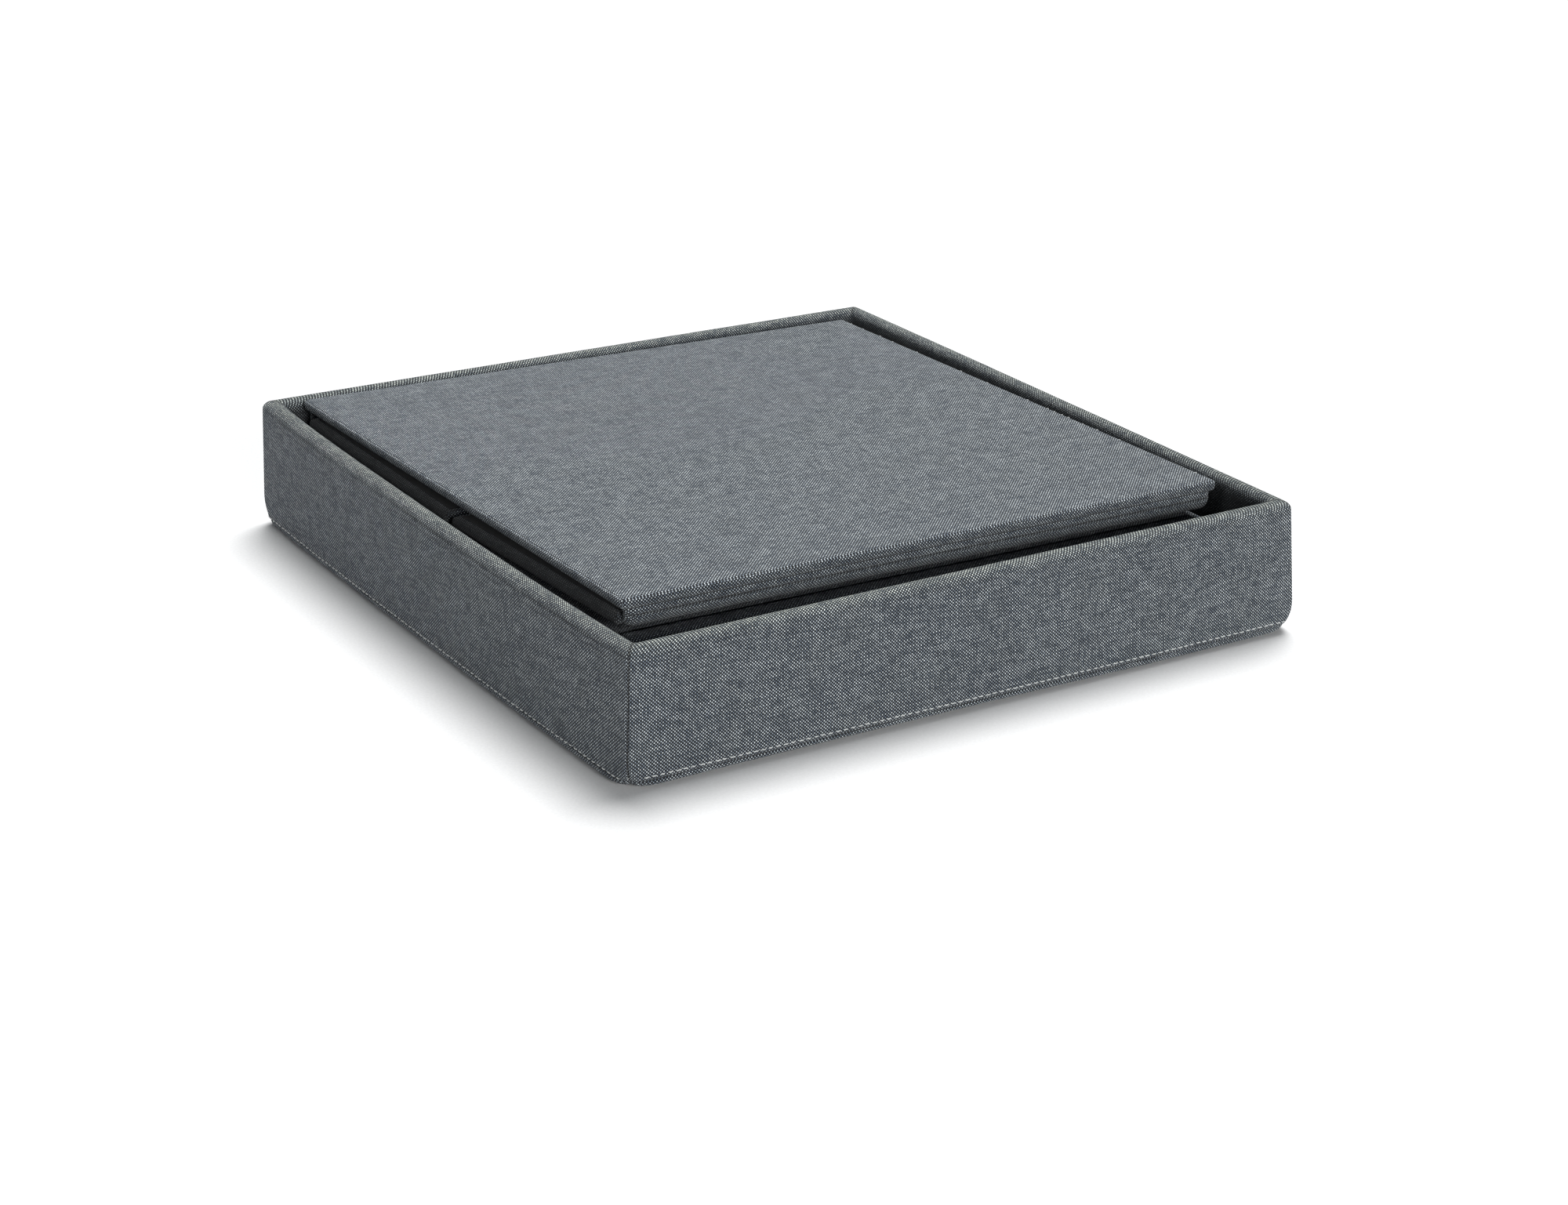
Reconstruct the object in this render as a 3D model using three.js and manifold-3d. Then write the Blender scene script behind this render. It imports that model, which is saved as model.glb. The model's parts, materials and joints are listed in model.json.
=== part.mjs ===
// A folding storage ottoman, packed flat for storage.
//
// The padded lid lies upside down on its seat face and serves as a tray. The storage box is
// folded flat inside it: back panel at the bottom, four half side panels folded inwards in two
// pairs, front panel on top. A loose base panel lies under the folded box.
//
// Millimetres, +Z up, origin in the middle of the seat face that the lid rests on. X runs along
// the box's height (its mouth is at +X) and Y across its front panel.

import * as THREE from "three";
import { mergeVertices } from "three/addons/utils/BufferGeometryUtils.js";
import Module from "manifold-3d";

const wasm = await Module();
wasm.setup();

// ---------------------------------------------------------------- driving dimensions

const LID_SIDE = 380; // outside, over the cloth
const LID_HEIGHT = 69;
const SKIRT = 9; // thickness of the lid's skirt, cloth to cloth
const LID_CORNER = 3; // radius of the lid's upright corners
const SEAT_CORNER = 26; // plan radius of the padded seat's corners
const SEAT_EDGE = 6; // radius of the padded seat's edge
const SEAT_DEPTH = 16; // height at which the padded corners run out into the upright ones
const SEAM_HEIGHT = 5; // where the seat cover is sewn to the skirt
const FLOOR = 24.6; // top of the lined floor inside the lid

const CLOTH = 1; // upholstery cloth with its backing
const LINING = 0.6; // black non-woven lining
const BOARD = 5; // fibreboard of the lid
const GAP = 0.3; // free space left between pieces that touch

const BOX_HEIGHT = 344; // length of every wall panel, along X
const FRONT_WIDTH = 332; // front and back panels, along Y
const PANEL = 5.6; // thickness of a padded wall panel
const PANEL_EDGE = 2.6; // radius of its rounded edges
const PANEL_RIM = 3.8; // padding between a panel's edge and the board inside it
const SLACK = 3.2; // height of the hollow that the folded corner leaves between two panels
const STAND_GAP = 0.4; // between a standing half side and the panel edge or half beside it
const CREASE_GAP = 4; // between the two creases, in the middle of the folded box
const REST_FOLD = 1.25; // degrees: 0 is the box pressed flat, 90 is the box set up

const BASE_LENGTH = 328;
const BASE_WIDTH = 300;
const BASE_THICKNESS = 4;

// How the folded box lies in the lid: pushed towards +Y and propped up at its -X -Y corner.
const STACK_X = 0.5;
const STACK_Y = 12.6;
const STACK_Z = 34.2; // underside of the back panel, in its middle
const STACK_TILT_X = -0.966; // degrees
const STACK_TILT_Y = 0.668; // degrees

// ---------------------------------------------------------------- materials

const cloth = new THREE.MeshStandardMaterial({ color: 0x7b8288, roughness: 0.95, metalness: 0 });
const lining = new THREE.MeshStandardMaterial({ color: 0x17181a, roughness: 0.9, metalness: 0 });
const fibreboard = new THREE.MeshStandardMaterial({ color: 0xa07c55, roughness: 0.85, metalness: 0 });
const foam = new THREE.MeshStandardMaterial({ color: 0xe6dfc8, roughness: 1, metalness: 0 });

// ---------------------------------------------------------------- shapes and booleans

// A closed three.js geometry as a manifold-3d solid.
function solid(geometry) {
  const bare = geometry.clone();
  bare.deleteAttribute("normal");
  bare.deleteAttribute("uv");
  const merged = mergeVertices(bare, 1e-4);
  return new wasm.Manifold(
    new wasm.Mesh({
      numProp: 3,
      vertProperties: merged.attributes.position.array,
      triVerts: new Uint32Array(merged.index.array),
    }),
  );
}

// A manifold-3d solid as a three.js geometry.
function geometryOf(made) {
  const { vertProperties, triVerts } = made.getMesh();
  const geometry = new THREE.BufferGeometry();
  geometry.setAttribute("position", new THREE.BufferAttribute(vertProperties, 3));
  geometry.setIndex(new THREE.BufferAttribute(triVerts, 1));
  const flat = geometry.toNonIndexed();
  flat.computeVertexNormals();
  return flat;
}

function roundedRectangle(length, width, radius) {
  const [x, y] = [length / 2, width / 2];
  const shape = new THREE.Shape();
  shape.moveTo(-x + radius, -y);
  shape.lineTo(x - radius, -y);
  shape.absarc(x - radius, -y + radius, radius, -Math.PI / 2, 0, false);
  shape.lineTo(x, y - radius);
  shape.absarc(x - radius, y - radius, radius, 0, Math.PI / 2, false);
  shape.lineTo(-x + radius, y);
  shape.absarc(-x + radius, y - radius, radius, Math.PI / 2, Math.PI, false);
  shape.lineTo(-x, -y + radius);
  shape.absarc(-x + radius, -y + radius, radius, Math.PI, 1.5 * Math.PI, false);
  return shape;
}

// A flat slab from z = 0 up to its thickness, with rounded corners and rounded edges.
function slab(length, width, thickness, corner, edge) {
  return new THREE.ExtrudeGeometry(roundedRectangle(length, width, corner), {
    depth: thickness - 2 * edge,
    curveSegments: 4,
    bevelEnabled: true,
    bevelThickness: edge,
    bevelSize: edge,
    bevelOffset: -edge,
    bevelSegments: 4,
  }).translate(0, 0, edge);
}

function block(length, width, height, x = 0, y = 0, z = 0) {
  return new THREE.BoxGeometry(length, width, height).translate(x, y, z + height / 2);
}

// An outline drawn in the YZ plane, drawn out along X and centred on x = 0.
function alongX(shape, length, curveSegments = 6) {
  return new THREE.ExtrudeGeometry(shape, { depth: length, bevelEnabled: false, curveSegments })
    .rotateX(Math.PI / 2)
    .rotateZ(Math.PI / 2)
    .translate(-length / 2, 0, 0);
}

function mesh(name, geometry, material) {
  const made = new THREE.Mesh(geometry, material);
  made.name = name;
  return made;
}

// ---------------------------------------------------------------- the lid, upside down

const LID_HALF = LID_SIDE / 2;
const SKIRT_INSIDE = LID_HALF - SKIRT;
const SKIRT_MIDDLE = LID_HALF - SKIRT / 2;
const DECK_TOP = FLOOR - LINING - GAP;
const DECK_HALF = SKIRT_MIDDLE + BOARD / 2;
const SKIRT_BOARD_TOP = LID_HEIGHT - BOARD / 2;

// The lid's outer surface moved inwards by inset: a padded seat at the bottom with rounded
// edges and corners, running up into a square skirt.
function lidBody(inset) {
  const side = LID_SIDE - 2 * inset;
  const edge = SEAT_EDGE - inset;
  const seat = slab(side, side, 2 * edge, SEAT_CORNER - inset, edge).translate(0, 0, inset);
  const skirt = new THREE.ExtrudeGeometry(roundedRectangle(side, side, LID_CORNER - inset), {
    depth: LID_HEIGHT - SEAT_DEPTH,
    bevelEnabled: false,
    curveSegments: 3,
  }).translate(0, 0, SEAT_DEPTH);
  return wasm.Manifold.hull([solid(seat), solid(skirt)]);
}

// Everything from one height to another.
function layer(bottom, top) {
  return solid(block(2 * LID_SIDE, 2 * LID_SIDE, top - bottom, 0, 0, bottom));
}

// The seat face: a shallow cloth dish that holds the underside of the foam.
function seatCover() {
  const shell = lidBody(0).subtract(lidBody(CLOTH));
  return mesh("seat_cover", geometryOf(shell.intersect(layer(0, SEAM_HEIGHT - GAP))), cloth);
}

function foamPad() {
  const pad = lidBody(CLOTH + GAP).intersect(layer(0, DECK_TOP - BOARD - GAP));
  return mesh("foam_pad", geometryOf(pad), foam);
}

function deckBoard() {
  return mesh(
    "deck_board",
    block(2 * DECK_HALF, 2 * DECK_HALF, BOARD, 0, 0, DECK_TOP - BOARD),
    fibreboard,
  );
}

// The black sheet on the floor of the lid.
function lidLining() {
  const side = 2 * (SKIRT_MIDDLE - BOARD / 2 - GAP);
  return mesh("lid_lining", block(side, side, LINING, 0, 0, FLOOR - LINING), lining);
}

// The four boards that stand round the deck: two full length ones, two between them.
function skirtBoards() {
  const [full, between] = [2 * DECK_HALF, 2 * (DECK_HALF - BOARD - GAP)];
  const bottom = DECK_TOP + GAP;
  const height = SKIRT_BOARD_TOP - bottom;
  return [
    mesh("skirt_board_front", block(full, BOARD, height, 0, -SKIRT_MIDDLE, bottom), fibreboard),
    mesh("skirt_board_back", block(full, BOARD, height, 0, SKIRT_MIDDLE, bottom), fibreboard),
    mesh("skirt_board_left", block(BOARD, between, height, -SKIRT_MIDDLE, 0, bottom), fibreboard),
    mesh("skirt_board_right", block(BOARD, between, height, SKIRT_MIDDLE, 0, bottom), fibreboard),
  ];
}

// The cloth over the rim of one side and down its inside to the floor.
function rimProfile() {
  const [outer, inner] = [SKIRT / 2, SKIRT / 2 - CLOTH];
  const bend = LID_HEIGHT - outer;
  const shape = new THREE.Shape();
  shape.moveTo(-LID_HALF, bend);
  shape.lineTo(-LID_HALF + CLOTH, bend);
  shape.absarc(-SKIRT_MIDDLE, bend, inner, Math.PI, 0, true);
  shape.lineTo(-SKIRT_INSIDE - CLOTH, FLOOR + GAP);
  shape.lineTo(-SKIRT_INSIDE, FLOOR + GAP);
  shape.lineTo(-SKIRT_INSIDE, bend);
  shape.absarc(-SKIRT_MIDDLE, bend, outer, 0, Math.PI, false);
  return shape;
}

// The cloth over the four sides: up the outside from the seat seam, over the rim and down, and
// mitred where the corner seams join the four lengths.
function skirtCovers() {
  const bend = LID_HEIGHT - SKIRT / 2;
  const wedge = new THREE.Shape([
    new THREE.Vector2(0, -GAP),
    new THREE.Vector2(-LID_SIDE, -LID_SIDE - GAP),
    new THREE.Vector2(LID_SIDE, -LID_SIDE - GAP),
  ]);
  const mitre = solid(
    new THREE.ExtrudeGeometry(wedge, { depth: 2 * LID_HEIGHT, bevelEnabled: false }),
  );
  const outside = lidBody(0).subtract(lidBody(CLOTH)).intersect(layer(SEAM_HEIGHT, bend));
  const rim = solid(alongX(rimProfile(), LID_SIDE)).intersect(lidBody(0));
  const side = outside.add(rim).intersect(mitre);
  return ["front", "right", "back", "left"].map((name, turn) =>
    mesh(`skirt_cover_${name}`, geometryOf(side).rotateZ((turn * Math.PI) / 2), cloth),
  );
}

function lid() {
  const group = new THREE.Group();
  group.add(seatCover(), foamPad(), deckBoard(), lidLining(), ...skirtBoards(), ...skirtCovers());
  return group;
}

// ---------------------------------------------------------------- padded panels

// One panel, lying lining side down at z = 0: a cloth dish, a board in it, and a lining sheet
// over its mouth.
function panel(name, length, width, thickness, face, edge) {
  const [pocketLength, pocketWidth] = [length - 2 * PANEL_RIM, width - 2 * PANEL_RIM];
  const boardBottom = LINING + GAP;
  const boardHeight = thickness - CLOTH - GAP - boardBottom;
  const dish = solid(slab(length, width, thickness, edge + 1, edge)).subtract(
    solid(block(pocketLength, pocketWidth, thickness, 0, 0, -CLOTH)),
  );
  const [innerLength, innerWidth] = [pocketLength - 2 * GAP, pocketWidth - 2 * GAP];
  const group = new THREE.Group();
  group.add(
    mesh(`${name}_cover`, geometryOf(dish), face),
    mesh(`${name}_board`, block(innerLength, innerWidth, boardHeight, 0, 0, boardBottom), fibreboard),
    mesh(`${name}_lining`, block(innerLength, innerWidth, LINING), lining),
  );
  return group;
}

// ---------------------------------------------------------------- the folded box

// Heights in the box pressed flat, from the back panel's outer face.
const BACK_TOP = PANEL;
const LOWER_BOTTOM = BACK_TOP + SLACK;
const UPPER_BOTTOM = LOWER_BOTTOM + PANEL + GAP;
const FRONT_BOTTOM = UPPER_BOTTOM + PANEL + SLACK;
const STACK_HEIGHT = FRONT_BOTTOM + PANEL;

// A half side panel reaches from one panel thickness inside the front panel's edge to the crease,
// so that it stands flush with that edge when the box is set up.
const FRONT_HALF = FRONT_WIDTH / 2;
const CREASE_END = CREASE_GAP / 2;
const SIDE_WIDTH = FRONT_HALF - PANEL - CREASE_END;
const SIDE_MIDDLE = CREASE_END + SIDE_WIDTH / 2;

// The axes of the cloth hinges, which run along X. A corner's axis lies inside the end of its
// half side and between its lining and the panel, where the half side turns from lying on the
// panel to standing on it. A crease's axis lies between the ends of its two half sides.
const HINGE_INSET = (SLACK - STAND_GAP) / 2;
const CORNER_Y = FRONT_HALF - PANEL - HINGE_INSET;
const BACK_CORNER_Z = PANEL + STAND_GAP + HINGE_INSET;
const FRONT_CORNER_Z = STACK_HEIGHT - BACK_CORNER_Z;
const CREASE_Y = CREASE_END - STAND_GAP / 2;
const CREASE_Z = (LOWER_BOTTOM + PANEL + UPPER_BOTTOM) / 2;

// A group turned about an axis along X through (y, z). Its children are placed in the parent's
// own frame, as they lie when the box is pressed flat.
function hinge(name, parent, y, z, degrees) {
  const pivot = new THREE.Group();
  pivot.name = name;
  pivot.position.set(0, y, z);
  pivot.rotation.x = THREE.MathUtils.degToRad(degrees);
  const child = new THREE.Group();
  child.position.set(0, -y, -z);
  pivot.add(child);
  parent.add(pivot);
  return child;
}

// A wall panel at its height in the stack, cloth side up or down.
function wall(name, width, y, bottom, faceUp) {
  const made = panel(name, BOX_HEIGHT, width, PANEL, cloth, PANEL_EDGE);
  made.position.set(0, y, faceUp ? bottom : bottom + PANEL);
  made.rotation.x = faceUp ? 0 : Math.PI;
  return made;
}

// The cloth that hinges a front or back panel to a half side: a band down the outside of the
// panel's edge that curves in to the half side's end. side is -1 at -Y; edgeZ is the middle of
// the panel's thickness; down is -1 where the half side lies below the panel.
function cornerWeb(name, side, edgeZ, down) {
  const halfCloth = CLOTH / 2;
  const bandY = FRONT_HALF + GAP + halfCloth;
  const radius = PANEL;
  const straight = SLACK;
  const shape = new THREE.Shape();
  shape.moveTo(bandY + halfCloth, -PANEL / 4);
  shape.lineTo(bandY + halfCloth, straight);
  shape.absarc(bandY - radius, straight, radius + halfCloth, 0, Math.PI / 2, false);
  shape.lineTo(bandY - radius, straight + radius - halfCloth);
  shape.absarc(bandY - radius, straight, radius - halfCloth, Math.PI / 2, 0, true);
  shape.lineTo(bandY - halfCloth, -PANEL / 4);
  const length = BOX_HEIGHT - 2 * PANEL_EDGE;
  const made = mesh(name, alongX(shape, length, 4), cloth);
  made.position.z = edgeZ;
  made.rotation.y = down < 0 ? Math.PI : 0;
  made.scale.y = side;
  return made;
}

// The strip of lining that hinges two half sides at their crease.
function creaseWeb(name, side) {
  const bottom = LOWER_BOTTOM + PANEL / 2;
  const height = UPPER_BOTTOM + PANEL / 2 - bottom;
  const y = side * (CREASE_END - GAP - LINING / 2);
  return mesh(name, block(BOX_HEIGHT - 2 * PANEL_EDGE, LINING, height, 0, y, bottom), lining);
}

function foldedBox() {
  const stack = new THREE.Group();
  stack.position.set(STACK_X, STACK_Y, STACK_Z);
  stack.rotation.x = THREE.MathUtils.degToRad(STACK_TILT_X);
  stack.rotation.y = THREE.MathUtils.degToRad(STACK_TILT_Y);

  const nearLower = hinge("near_lower_fold", stack, -CORNER_Y, BACK_CORNER_Z, REST_FOLD);
  const nearUpper = hinge("near_upper_fold", nearLower, -CREASE_Y, CREASE_Z, -2 * REST_FOLD);
  const front = hinge("front_fold", nearUpper, -CORNER_Y, FRONT_CORNER_Z, REST_FOLD);
  const farUpper = hinge("far_upper_fold", front, CORNER_Y, FRONT_CORNER_Z, REST_FOLD);
  const farLower = hinge("far_lower_fold", stack, CORNER_Y, BACK_CORNER_Z, -REST_FOLD);

  stack.add(
    wall("back_panel", FRONT_WIDTH, 0, 0, false),
    cornerWeb("near_lower_web", -1, PANEL / 2, 1),
    cornerWeb("far_lower_web", 1, PANEL / 2, 1),
  );
  nearLower.add(
    wall("near_lower_side", SIDE_WIDTH, -SIDE_MIDDLE, LOWER_BOTTOM, true),
    creaseWeb("near_crease_web", -1),
  );
  nearUpper.add(wall("near_upper_side", SIDE_WIDTH, -SIDE_MIDDLE, UPPER_BOTTOM, false));
  front.add(
    wall("front_panel", FRONT_WIDTH, 0, FRONT_BOTTOM, true),
    cornerWeb("near_upper_web", -1, STACK_HEIGHT - PANEL / 2, -1),
    cornerWeb("far_upper_web", 1, STACK_HEIGHT - PANEL / 2, -1),
  );
  farUpper.add(wall("far_upper_side", SIDE_WIDTH, SIDE_MIDDLE, UPPER_BOTTOM, false));
  farLower.add(
    wall("far_lower_side", SIDE_WIDTH, SIDE_MIDDLE, LOWER_BOTTOM, true),
    creaseWeb("far_crease_web", 1),
  );
  return stack;
}

// ---------------------------------------------------------------- the loose base panel

function basePanel() {
  const edge = 1.4;
  const group = panel("base", BASE_LENGTH, BASE_WIDTH, BASE_THICKNESS, lining, edge);
  group.position.set(0, STACK_Y, FLOOR + GAP);
  return group;
}

// ---------------------------------------------------------------- the whole object

const ottoman = new THREE.Group();
ottoman.add(lid(), basePanel(), foldedBox());

export default ottoman;
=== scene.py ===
# A folding storage ottoman packed flat: the upturned padded lid is a tray, and the folded
# cloth-covered box lies in it. Lengths are in metres.

import json
import math
import random

import bmesh
import bpy
import numpy as np
from mathutils import Matrix, Vector, noise


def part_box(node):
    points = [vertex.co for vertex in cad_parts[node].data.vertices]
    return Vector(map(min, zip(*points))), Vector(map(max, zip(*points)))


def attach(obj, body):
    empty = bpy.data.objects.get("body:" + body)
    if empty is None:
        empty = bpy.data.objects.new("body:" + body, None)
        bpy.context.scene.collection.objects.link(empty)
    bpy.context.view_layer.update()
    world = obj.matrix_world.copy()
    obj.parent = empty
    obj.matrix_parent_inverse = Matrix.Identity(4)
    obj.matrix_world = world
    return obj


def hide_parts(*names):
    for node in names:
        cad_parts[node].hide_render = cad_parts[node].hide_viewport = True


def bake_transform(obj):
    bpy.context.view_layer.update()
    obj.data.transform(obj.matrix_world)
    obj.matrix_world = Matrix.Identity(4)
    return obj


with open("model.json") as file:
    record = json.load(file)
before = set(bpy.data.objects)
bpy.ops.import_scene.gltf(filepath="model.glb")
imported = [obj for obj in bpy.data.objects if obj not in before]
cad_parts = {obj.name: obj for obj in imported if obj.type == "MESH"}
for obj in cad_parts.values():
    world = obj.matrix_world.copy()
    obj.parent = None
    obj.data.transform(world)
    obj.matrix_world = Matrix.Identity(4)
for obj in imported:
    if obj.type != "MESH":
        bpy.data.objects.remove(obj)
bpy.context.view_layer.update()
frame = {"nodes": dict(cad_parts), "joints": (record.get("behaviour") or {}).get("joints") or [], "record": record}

MM = 0.001
CLOTH = 1 * MM  # upholstery cloth with its backing
WARP_PITCH = 0.85 * MM  # from one yarn to the next; the plain weave repeats every two
WEFT_PITCH = 0.81 * MM
STITCH_PITCH = 4 * MM
STITCH_LENGTH = 3 * MM
THREAD_RADIUS = 0.32 * MM
LINING_SHEET_EDGE = 0.28 * MM
STITCH_SIDES, STITCH_PARTS = 6, 5  # facets round a stitch and rings along it

# Darkest and lightest tone of each material.
PALE_YARN = (0.2, 0.255, 0.32, 1), (0.86, 0.94, 0.97, 1)
NAVY_YARN = (0.003, 0.006, 0.014, 1), (0.035, 0.048, 0.078, 1)
LINING_TONES = (0.002, 0.002, 0.0024, 1), (0.012, 0.012, 0.0135, 1)
THREAD_TONES = (0.4, 0.41, 0.41, 1), (0.56, 0.57, 0.555, 1)
BOARD_TONES = (0.22, 0.13, 0.065, 1), (0.46, 0.31, 0.17, 1)
FOAM_TONES = (0.42, 0.36, 0.22, 1), (0.8, 0.74, 0.58, 1)
PAPER_TONES = (0.56, 0.56, 0.56, 1), (0.59, 0.59, 0.59, 1)
WARM_GREY = (0.1, 0.105, 0.09, 1)
# Painted highlight: a paler, creamier cast multiplied into the cloth over the lid's rim.
PAINTED_RIM_HIGHLIGHT = (1.16, 1.13, 0.98, 1)


def clamp(value):
    return min(max(value, 0.0), 1.0)


def bell(distance, width):
    return np.exp(-((distance / width) ** 2))


# ---------------------------------------------------------------- material graphs


class Graph:
    """Builds a material's nodes, one call per node."""

    def __init__(self, name):
        self.material = bpy.data.materials.new(name)
        self.material.use_nodes = True
        self.tree = self.material.node_tree
        self.shader = self.tree.nodes["Principled BSDF"]

    def node(self, kind, **settings):
        made = self.tree.nodes.new(kind)
        for key, value in settings.items():
            setattr(made, key, value)
        return made

    def plug(self, value, socket):
        if isinstance(value, bpy.types.NodeSocket):
            self.tree.links.new(value, socket)
        elif value is not None:
            socket.default_value = value

    def math(self, operation, a, b=None, c=None, clamp=False):
        made = self.node("ShaderNodeMath", operation=operation, use_clamp=clamp)
        for value, socket in zip((a, b, c), made.inputs):
            self.plug(value, socket)
        return made.outputs[0]

    def ramp(self, value, low, high, to_low=0.0, to_high=1.0):
        made = self.node("ShaderNodeMapRange", interpolation_type="SMOOTHSTEP")
        for item, socket in zip((value, low, high, to_low, to_high), made.inputs):
            self.plug(item, socket)
        return made.outputs[0]

    def mix(self, share, a, b, blend="MIX"):
        made = self.node("ShaderNodeMix", data_type="RGBA", blend_type=blend)
        self.plug(share, made.inputs[0])
        self.plug(a, made.inputs[6])
        self.plug(b, made.inputs[7])
        return made.outputs[2]

    def scale_colour(self, colour, factor):
        made = self.node("ShaderNodeVectorMath", operation="SCALE")
        self.plug(colour, made.inputs[0])
        self.plug(factor, made.inputs["Scale"])
        return made.outputs[0]

    def vector(self, x, y, z=0.0):
        made = self.node("ShaderNodeCombineXYZ")
        for value, socket in zip((x, y, z), made.inputs):
            self.plug(value, socket)
        return made.outputs[0]

    def noise(self, where, scale, detail=2.0, roughness=0.5):
        made = self.node("ShaderNodeTexNoise")
        self.plug(where, made.inputs["Vector"])
        self.plug(scale, made.inputs["Scale"])
        self.plug(detail, made.inputs["Detail"])
        self.plug(roughness, made.inputs["Roughness"])
        return made.outputs[0]

    def weave_place(self):
        """The two coordinates on the cloth, in metres."""
        made = self.node("ShaderNodeUVMap", uv_map="weave")
        parts = self.node("ShaderNodeSeparateXYZ")
        self.plug(made.outputs[0], parts.inputs[0])
        return parts.outputs[0], parts.outputs[1]

    def tint(self, name):
        return self.node("ShaderNodeAttribute", attribute_name=name).outputs["Fac"]

    def bump(self, height, distance, strength=1.0):
        made = self.node("ShaderNodeBump")
        self.plug(strength, made.inputs["Strength"])
        self.plug(distance, made.inputs["Distance"])
        self.plug(height, made.inputs["Height"])
        self.plug(made.outputs[0], self.shader.inputs["Normal"])

    def finish(self, colour, roughness, sheen=0.0, sheen_roughness=0.5, specular=0.3):
        self.plug(colour, self.shader.inputs["Base Color"])
        self.plug(roughness, self.shader.inputs["Roughness"])
        self.shader.inputs["Sheen Weight"].default_value = sheen
        self.shader.inputs["Sheen Roughness"].default_value = sheen_roughness
        self.shader.inputs["Specular IOR Level"].default_value = specular
        return self.material


def melange_cloth():
    """Plain weave of pale warp and navy weft yarns, each uneven along its length."""
    g = Graph("melange_cloth")
    u, v = g.weave_place()
    place = g.vector(u, v)
    drift = g.math("MULTIPLY_ADD", g.noise(place, 90.0), 0.7, -0.35)
    warp = g.math("ADD", g.math("DIVIDE", u, WARP_PITCH), drift)
    weft = g.math("ADD", g.math("DIVIDE", v, WEFT_PITCH), drift)
    warp_yarn = g.math("FLOOR", warp)
    weft_yarn = g.math("FLOOR", weft)
    across = g.math("SINE", g.math("MULTIPLY", g.math("FRACT", warp), math.pi))
    along = g.math("SINE", g.math("MULTIPLY", g.math("FRACT", weft), math.pi))
    weft_up = g.math("FLOORED_MODULO", g.math("ADD", warp_yarn, weft_yarn), 2.0)

    # A float is long along its yarn and round across it.
    warp_float = g.math(
        "MULTIPLY", g.math("POWER", across, 0.7), g.math("POWER", along, 0.3)
    )
    weft_float = g.math(
        "MULTIPLY", g.math("POWER", across, 0.3), g.math("POWER", along, 0.7)
    )
    height = g.node("ShaderNodeMix")
    g.plug(weft_up, height.inputs[0])
    g.plug(warp_float, height.inputs[2])
    g.plug(weft_float, height.inputs[3])
    height = height.outputs[0]

    # Each yarn's tone drifts along it, and single floats differ a little from their neighbours.
    warp_tone = g.noise(
        g.vector(g.math("MULTIPLY", warp_yarn, 7.31), g.math("MULTIPLY", v, 120.0)), 1.0, 1.0
    )
    weft_tone = g.noise(
        g.vector(g.math("MULTIPLY", u, 100.0), g.math("MULTIPLY", weft_yarn, 5.73)), 1.0, 1.0
    )
    speck = g.node("ShaderNodeTexWhiteNoise", noise_dimensions="2D")
    g.plug(g.vector(warp_yarn, weft_yarn), speck.inputs["Vector"])
    speck = speck.outputs["Value"]
    tone = g.math("MULTIPLY_ADD", warp_tone, 0.34, g.math("MULTIPLY", weft_tone, 0.42))
    tone = g.math("MULTIPLY_ADD", speck, 0.14, tone)
    light = g.mix(g.ramp(tone, 0.29, 0.63), *PALE_YARN)
    dark = g.mix(g.ramp(tone, 0.38, 0.66), *NAVY_YARN)
    yarn = g.mix(weft_up, light, dark)
    fibres = g.noise(place, 4200.0, 2.0, 0.7)
    clouds = g.noise(place, 70.0, 3.0, 0.6)
    warmth = g.noise(place, 34.0, 2.0)
    shade = g.math("MULTIPLY_ADD", g.math("POWER", height, 3.8), 0.97, 0.03)
    shade = g.math("MULTIPLY", shade, g.ramp(fibres, 0.25, 0.75, 0.88, 1.12))
    shade = g.math("MULTIPLY", shade, g.ramp(clouds, 0.3, 0.7, 0.92, 1.08))
    yarn = g.scale_colour(yarn, shade)
    yarn = g.mix(g.ramp(warmth, 0.45, 0.7, 0.0, 0.06), yarn, WARM_GREY)
    # Painted highlight: where the 'rim' attribute is set, the colour is made paler and creamier.
    rim_highlighted = g.mix(g.tint("rim"), yarn, PAINTED_RIM_HIGHLIGHT, "MULTIPLY")
    # Painted shade: where the 'seam' attribute is set, the colour is darkened by up to 85 percent.
    seam_shade = g.math("MULTIPLY_ADD", g.tint("seam"), -0.85, 1.0)
    colour = g.scale_colour(rim_highlighted, seam_shade)
    g.bump(g.math("MULTIPLY_ADD", fibres, 0.25, height), 0.35 * MM, 0.7)
    return g.finish(colour, 0.92, sheen=0.12, sheen_roughness=0.6, specular=0.15)


def nonwoven_lining():
    """Black spun-bonded sheet, pressed with a grid of small dots."""
    g = Graph("nonwoven_lining")
    u, v = g.weave_place()
    place = g.vector(u, v)
    fibres = g.noise(place, 2600.0, 3.0, 0.75)
    clouds = g.noise(place, 120.0, 3.0, 0.6)
    dots = g.math(
        "MULTIPLY",
        g.math("SINE", g.math("MULTIPLY", g.math("ADD", u, v), math.pi / MM)),
        g.math("SINE", g.math("MULTIPLY", g.math("SUBTRACT", u, v), math.pi / MM)),
    )
    pressed = g.ramp(dots, 0.35, 0.75)
    tone = g.math("MULTIPLY_ADD", fibres, 0.8, g.math("MULTIPLY", clouds, 0.7))
    colour = g.mix(g.ramp(tone, 0.45, 1.0), *LINING_TONES)
    g.bump(g.math("MULTIPLY_ADD", pressed, -0.8, fibres), 0.12 * MM, 0.6)
    roughness = g.ramp(pressed, 0.0, 1.0, 0.85, 0.5)
    return g.finish(colour, roughness, sheen=0.1, specular=0.25)


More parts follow.
